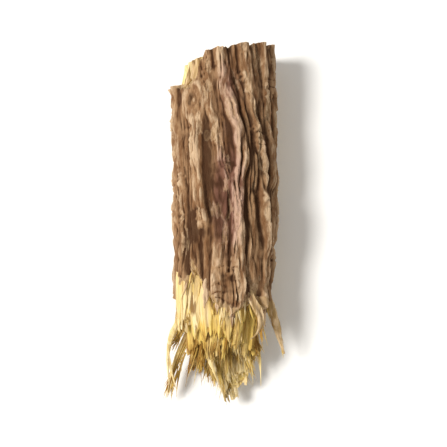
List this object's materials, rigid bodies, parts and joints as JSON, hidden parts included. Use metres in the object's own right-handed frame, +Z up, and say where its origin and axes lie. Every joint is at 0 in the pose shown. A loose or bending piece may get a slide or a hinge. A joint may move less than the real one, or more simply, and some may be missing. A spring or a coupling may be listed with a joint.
{
  "type": "licorice root",
  "caption": "Cut and split length of dried licorice root with wrinkled brown bark over fibrous yellow wood, torn at one end, lying on a split face.",
  "frame": {"origin": "bottom centre of the piece's bounding box, on the surface that its split face rests on", "axes": "+Z up, +Y along the root's grain towards its cut end, with the torn end at -Y, +X across"},
  "size_m": [0.0107, 0.0328, 0.0074],
  "materials": {
    "root": "dry wrinkled brown bark, matt, with bare fibrous yellow wood where it is split and torn"
  },
  "bodies": {
    "root": {"licorice_root": "root"}
  },
  "joints": []
}
